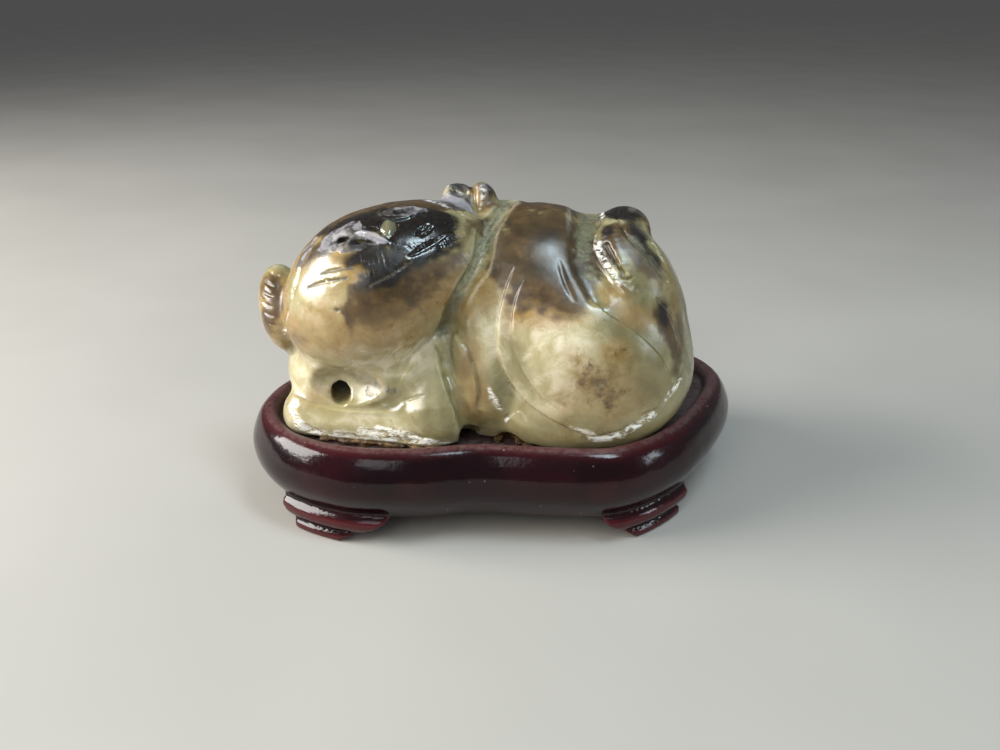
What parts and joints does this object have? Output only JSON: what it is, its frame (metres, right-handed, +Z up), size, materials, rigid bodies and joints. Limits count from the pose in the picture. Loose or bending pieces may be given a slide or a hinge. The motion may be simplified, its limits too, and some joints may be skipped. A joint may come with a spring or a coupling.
{
  "type": "jade mythical beast",
  "caption": "Small carved jade recumbent mythical beast with brown-black skin, resting on its fitted dark red lacquered wooden stand with scroll feet.",
  "frame": {"origin": "on the surface it stands on, under the middle of the stand's plan", "axes": "+X from the snout towards the tail, -Y towards the carved show side, +Z up"},
  "size_m": [0.0574, 0.0342, 0.0352],
  "materials": {
    "jade": "polished, translucent celadon jade with brown and black skin",
    "lacquered_wood": "dark red gloss lacquer, dusty and worn on the rim"
  },
  "bodies": {
    "root": {"jade_beast": "jade", "wooden_stand": "lacquered_wood"}
  },
  "joints": []
}
